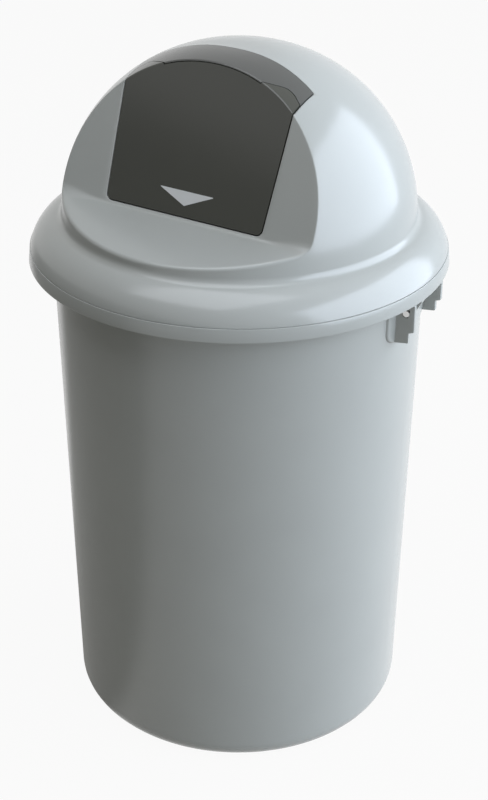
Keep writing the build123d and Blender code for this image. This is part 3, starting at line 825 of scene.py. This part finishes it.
def buildLugs():
    # a round eye about the axle with a block forward to the face; it is drawn in towards the axle where it
    # would come nearer to the dome's outside than half a wall
    axle = (lug["axleDepth"], lug["axleUp"])
    eye = arcPoints(axle, lug["radius"], -math.pi / 2, math.pi / 2, 17)
    front = [(lug["front"], lug["axleUp"] + lug["radius"]), (lug["front"], lug["axleUp"] - lug["radius"])]
    points, normals = roundedLoop(np.concatenate([eye, front]), [0.0] * len(eye) + [lug["corner"]] * 2, 4)
    start, end = lug["half"], lug["half"] + lug["thickness"]
    bore = [(lug["bore"], end), (lug["bore"], start)]
    loops = platePoints(points, normals, axle, bore, start, end, lug["edge"])

    def place(share):
        # the eye's points, drawn in to a share of their way from the axle
        behind = lug["axleDepth"] + share * (loops[..., 0] - lug["axleDepth"])
        up = lug["axleUp"] + share * (loops[..., 1] - lug["axleUp"])
        return onFace(loops[..., 2], up, behind)

    def room(share):
        # how far a point lies under mid-wall, along the dome's normal
        point = place(share)
        ground = domeNormal(point)
        return np.sum((domePoint(ground) - point) * ground, axis=-1) - dome["wall"] / 2

    whole = np.ones(loops.shape[:2])
    share = solve(lambda s: -room(s), 0 * whole, whole, 40)
    shell = Shell()
    shell.grid(place(np.where(room(whole) > 0, whole, share)), mirrored=True)
    return shell


def buildBosses():
    # short tubes that point inwards from the skin, with a blind bore
    r, b, wall = boss["radius"], boss["bore"], dome["wall"]
    start, end, floor = boss["from"] * wall, wall + boss["length"], boss["floor"] * wall
    corners = [(0, start), (r, start), (r, end), (b, end), (b, floor), (0, floor)]
    loops = turnedPoints(roundedLine(corners, boss["rounds"], 4), 32)
    across, up, along = loops[..., 0:1], loops[..., 1:2], loops[..., 2:3]
    shell = Shell()
    for x in boss["places"]:
        point = domeBehindFace([x], boss["setback"], 0.0)
        out = domeNormal(point)
        side = unit(np.cross(out, [0.0, 1.0, 0.0]))
        shell.grid(point + across * side + up * np.cross(out, side) - along * out)
    return shell


for name, build in (("seatRibs", buildRibs), ("hingeArms", buildArms), ("bearingLugs", buildLugs),
                    ("screwBosses", buildBosses)):
    piece = build().piece(name, "hood", "grey_plastic", greyPlastic)
    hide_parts("hood")
print("hood's inside done")

# The tub
tub = {
    "baseRadius": 164.8,
    "topRadius": 174.5,  # of the wall at the height of the skirt's lower edge
    "wall": 2.6,
    "floor": 3.0,
    "corner": 20.0,
    "footRadius": 131.0,
    "footRecess": 4.0,
    "footDraft": 3.0,
    "footRound": 1.0,
    "rimTop": 492.0,
    "rimRadius": 188.5,
    "rimThickness": 2.6,
    "rimLip": 11.0,
    "rimRound": 1.2,
    "lipRound": 0.6,
    "mouthRound": 0.8,
    "turns": 288,
}
pad = {
    "halfWidth": 51.0,
    "low": 435.6,
    "thickness": 2.2,
    "corner": 12.0,
    "topCorner": 0.5,
    "edge": 2.0,
}
ear = {
    "inside": 160.0,
    "footOut": 184.2,
    "out": 189.0,
    "foot": 435.6,
    "footRise": 1.5,  # of each slanting underside
    "step": 447.3,
    "top": 474.5,
    "neck": 481.0,
    "high": 489.9,
    "rounds": (0.1, 1.2, 0.8, 1.2, 1.2, 0.5, 0.1, 0.1),
    "edge": 0.8,
}


def wallRadius(height):
    # the wall's outer radius grows evenly with height
    return tub["baseRadius"] + (tub["topRadius"] - tub["baseRadius"]) * height / shoulder["skirtBottom"]


def buildTub():
    # a profile from axis to axis, turned about the upright axis: foot, wall, rim with its turned-down lip,
    # inner wall and floor
    under = tub["rimTop"] - tub["rimThickness"]
    lip = tub["rimTop"] - tub["rimLip"]
    inside = tub["rimRadius"] - tub["rimThickness"]
    floor = tub["footRecess"] + tub["floor"]
    corners = [
        # radius, height and rounding
        (0, tub["footRecess"], 0),
        (tub["footRadius"] - tub["footDraft"], tub["footRecess"], tub["footRound"]),
        (tub["footRadius"], 0, tub["footRound"]),
        (tub["baseRadius"], 0, tub["corner"]),
        (wallRadius(under), under, tub["footRound"]),
        (inside, under, tub["lipRound"]),
        (inside, lip, tub["lipRound"]),
        (tub["rimRadius"], lip, tub["lipRound"]),
        (tub["rimRadius"], tub["rimTop"], tub["rimRound"]),
        (wallRadius(tub["rimTop"]) - tub["wall"], tub["rimTop"], tub["mouthRound"]),
        (wallRadius(floor) - tub["wall"], floor, tub["corner"] - tub["wall"]),
        (0, floor, 0),
    ]
    profile = roundedLine([c[:2] for c in corners], [c[2] for c in corners[1:-1]], 9)
    shell = Shell()
    shell.grid(ringGrid(profile, np.linspace(0, 2 * math.pi, tub["turns"] + 1)))
    return shell


def buildPad():
    # a rounded plate that follows the wall: rings at insets d rise by thickness - e + sqrt(e^2 - (e - d)^2),
    # and rings that shrink to its middle close its front and its back
    high = tub["rimTop"] - tub["rimThickness"]
    middle = np.array([0.0, (pad["low"] + high) / 2])
    a = np.linspace(0, math.pi / 2, 5)
    insets = [0.0, *(pad["edge"] * (1 - np.cos(a)))]
    rises = [-tub["wall"] / 2, *(pad["thickness"] - pad["edge"] + pad["edge"] * np.sin(a))]
    along = np.linspace(0, 1, 9)[:-1, None]
    rings = []
    for inset, rise in zip(insets, rises):
        w, low = pad["halfWidth"] - inset, pad["low"] + inset
        radii = [pad["corner"] - inset] * 2 + [pad["topCorner"]] * 2
        loop, _ = roundedLoop([(-w, low), (w, low), (w, high), (-w, high)], radii, 9)
        dense = (loop[:, None] * (1 - along) + np.roll(loop, -1, axis=0)[:, None] * along).reshape(-1, 2)
        rings.append(np.column_stack([dense, np.full(len(dense), rise)]))

    def shrunk(ring, share):
        # the ring drawn in to a share of its size
        return np.column_stack([middle + share * (ring[:, :2] - middle), ring[:, 2]])

    back = [shrunk(rings[0], share) for share in np.linspace(0, 1, 9)]
    front = [shrunk(rings[-1], share) for share in np.linspace(1, 0, 9)[1:]]
    loops = np.stack([close(ring) for ring in back + rings[1:] + front])
    across, up, rise = loops[..., 0], loops[..., 1], loops[..., 2]
    out = np.sqrt((wallRadius(up) + rise) ** 2 - across ** 2)
    shell = Shell()
    shell.grid(hingePlace(np.stack([out, up, across], axis=-1)))
    return shell


def buildEars():
    # two stepped plates that stand out from the wall and end in the middle of its thickness; the first has a
    # sunk bore for the pin's head
    span, thick = hinge["earHalfSpan"], hinge["earThickness"]
    neckOut = math.sqrt((tub["rimRadius"] - tub["rimThickness"] / 2) ** 2 - (span - thick / 2) ** 2)
    corners = [
        (ear["inside"], ear["foot"]),
        (ear["footOut"], ear["foot"] + ear["footRise"]),
        (ear["footOut"], ear["step"]),
        (ear["out"], ear["step"] + ear["footRise"]),
        (ear["out"], ear["top"]),
        (neckOut, ear["neck"]),
        (neckOut, ear["high"]),
        (ear["inside"], ear["high"]),
    ]
    points, normals = roundedLoop(corners, ear["rounds"], 5)
    bore, sink, depth, edge = hinge["bore"], hinge["sink"], hinge["sinkDepth"], hinge["sinkEdge"]
    sunk = [(bore, thick), (bore, depth), (sink, depth), (sink, edge), (sink + edge, 0.0)]
    plain = [(bore, thick), (bore, 0.0)]
    shell = Shell()
    for start, holes in ((-span, sunk), (span - thick, plain)):
        bores = [(radius, start + place) for radius, place in holes]
        pin = (hinge["pinDistance"], hinge["pinHeight"])
        loops = platePoints(points, normals, pin, bores, start, start + thick, ear["edge"])
        inside = np.sqrt((wallRadius(loops[..., 1]) - tub["wall"] / 2) ** 2 - loops[..., 2] ** 2)
        loops[..., 0] = np.maximum(loops[..., 0], inside)
        shell.grid(hingePlace(loops))
    return shell


for name, build in (("tubShell", buildTub), ("hingePad", buildPad), ("hingeEars", buildEars)):
    piece = build().piece(name, "bin", "grey_plastic", greyPlastic)
    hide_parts("bin_body")
print("tub done")

# The mark on the flap
mark = {
    "half": 29.0,
    "up": 26.0,
    "tip": 13.1,
    "round": 0.35,
    "middle": 22.0,
    "proud": 0.12,
    "sunk": 0.5,
}


def buildMark():
    # a plain triangle that points down, slightly proud of the face
    corners = [(0.0, mark["tip"]), (mark["half"], mark["up"]), (-mark["half"], mark["up"])]
    points, _ = roundedLoop(corners, mark["round"], 7)
    middle = np.array([0.0, mark["middle"]])
    rings = []
    low, high = -mark["sunk"], mark["proud"]
    for share, rise in ((0.0, low), (1.0, low), (1.0, high), (0.0, high)):
        flat = middle + share * (points - middle)
        rings.append(close(onFace(flat[:, 0], flat[:, 1], -rise)))
    shell = Shell()
    shell.grid(np.stack(rings))
    return shell


buildMark().piece("flapMark", "flap", None, plastic("markPrint"))
print("mark done")

# Camera, floor and light
view = {
    "place": (786.0, -1248.2, 1123.5),
    "turn": (61.369, -0.2464, 32.134),
    "lens": 76.5,
    "sensor": 36.0,
}
studio = {
    "floorHalf": 9.0,
    "floorDrop": 0.0005,
    "floorColor": (0.335, 0.32, 0.28),
    "floorRoughness": 0.9,
    "floorSpecular": 0.1,
    "floorWhite": 0.94,  # how far the floor turns white where it is seen
    "worldColor": (1.0, 0.985, 0.95),
    "worldStrength": 0.155,
    # mirrored, the floor is darker in a sector at the left, and the room at the front left up to a low height
    "floorShade": {"toward": (-0.899, -0.438, 0.0), "from": 0.64, "to": 0.84, "dark": 0.25},
    "roomShade": {"toward": (-0.56, -0.83, -1.6), "from": 0.39, "to": 0.45, "dark": 0.25},
    "lamps": {
        # name: place, aim, size, watts, color
        "right": ((2.3, 0.95, 1.35), (0, 0, 0.5), (4.6, 2.7), 160, (0.87, 0.965, 1.12)),
        "top": ((-0.1, -0.5, 2.3), (0, 0, 0.5), (1.6, 1.6), 20, (0.95, 0.985, 1.05)),
    },
}


def setCamera():
    # the camera that was fitted to the photo
    data = bpy.data.cameras.new("camera")
    data.lens = view["lens"]
    data.sensor_width = view["sensor"]
    camera = bpy.data.objects.new("camera", data)
    camera.location = [v * mm for v in view["place"]]
    camera.rotation_euler = [math.radians(v) for v in view["turn"]]
    bpy.context.scene.collection.objects.link(camera)
    bpy.context.scene.camera = camera


def seenRays(tree, shade):
    # 1 for rays from the camera or through glass, and the mask for rays from a mirror
    path = tree.nodes.new("ShaderNodeLightPath")
    mirrored = addNode(tree, "ShaderNodeMath", "MULTIPLY")
    straight = addNode(tree, "ShaderNodeMath", "MAXIMUM")
    seen = addNode(tree, "ShaderNodeMath", "MAXIMUM")
    tree.links.new(path.outputs["Is Glossy Ray"], mirrored.inputs[0])
    tree.links.new(shade, mirrored.inputs[1])
    tree.links.new(path.outputs["Is Camera Ray"], straight.inputs[0])
    tree.links.new(path.outputs["Is Transmission Ray"], straight.inputs[1])
    tree.links.new(straight.outputs[0], seen.inputs[0])
    tree.links.new(mirrored.outputs[0], seen.inputs[1])
    return seen.outputs[0]


def shadeMask(tree, direction, shade):
    # 1, falling smoothly to dark where the unit direction turns towards the shaded side
    level = addNode(tree, "ShaderNodeVectorMath", "NORMALIZE")
    toward = addNode(tree, "ShaderNodeVectorMath", "DOT_PRODUCT", [(1, shade["toward"])])
    mask = addNode(tree, "ShaderNodeMapRange", None, [
        ("From Min", shade["from"]), ("From Max", shade["to"]), ("To Min", 1), ("To Max", shade["dark"])])
    mask.interpolation_type = "SMOOTHSTEP"
    tree.links.new(direction, level.inputs[0])
    tree.links.new(level.outputs["Vector"], toward.inputs[0])
    tree.links.new(toward.outputs["Value"], mask.inputs["Value"])
    return mask.outputs["Result"]


def floorMaterial():
    # pale and lit, and turned towards white where it is seen, so that it keeps the object's shadow
    material, tree, shader = newMaterial("floorPaint", studio["floorColor"], studio["floorRoughness"],
                                         specular=studio["floorSpecular"])
    coords = tree.nodes.new("ShaderNodeTexCoord")
    mask = shadeMask(tree, coords.outputs["Object"], studio["floorShade"])
    share = addNode(tree, "ShaderNodeMath", "MULTIPLY", [(1, studio["floorWhite"])])
    tree.links.new(seenRays(tree, mask), share.inputs[0])
    white = tree.nodes.new("ShaderNodeEmission")
    mix = tree.nodes.new("ShaderNodeMixShader")
    tree.links.new(share.outputs[0], mix.inputs[0])
    tree.links.new(shader.outputs[0], mix.inputs[1])
    tree.links.new(white.outputs[0], mix.inputs[2])
    tree.links.new(mix.outputs[0], tree.nodes["Material Output"].inputs["Surface"])
    return material


def buildFloor():
    # a wide square just under the foot
    half, height = studio["floorHalf"], -studio["floorDrop"]
    corners = [(-half, -half, height), (half, -half, height), (half, half, height), (-half, half, height)]
    mesh = bpy.data.meshes.new("floor")
    mesh.from_pydata(corners, [], [(0, 1, 2, 3)])
    floor = bpy.data.objects.new("floor", mesh)
    bpy.context.scene.collection.objects.link(floor)
    mesh.materials.append(floorMaterial())


def setWorld():
    # a soft even light, white where it is seen
    world = bpy.data.worlds.new("studio")
    bpy.context.scene.world = world
    world.use_nodes = True
    tree = world.node_tree
    pick = tree.nodes.new("ShaderNodeMix")
    pick.data_type = "RGBA"
    pick.inputs[colorA].default_value = (*[c * studio["worldStrength"] for c in studio["worldColor"]], 1)
    pick.inputs[colorB].default_value = (1, 1, 1, 1)
    around = tree.nodes.new("ShaderNodeTexCoord")
    mask = shadeMask(tree, around.outputs["Generated"], studio["roomShade"])
    tree.links.new(seenRays(tree, mask), pick.inputs["Factor"])
    tree.links.new(pick.outputs[mixedColor], tree.nodes["Background"].inputs["Color"])


def addLamp(name, place, aim, size, watts, color):
    # a rectangle that shines towards its aim
    data = bpy.data.lights.new(name, "AREA")
    data.shape = "RECTANGLE"
    data.size, data.size_y = size
    data.energy = watts
    data.color = color
    lamp = bpy.data.objects.new(name, data)
    lamp.location = place
    x, y, z = np.array(aim) - np.array(place)
    lamp.rotation_euler = (math.atan2(math.hypot(x, y), -z), 0, math.atan2(y, x) - math.pi / 2)
    bpy.context.scene.collection.objects.link(lamp)


setCamera()
setWorld()
buildFloor()
for name, lamp in studio["lamps"].items():
    addLamp(name, *lamp)
bpy.context.scene.view_settings.view_transform = "Standard"
print("studio done")
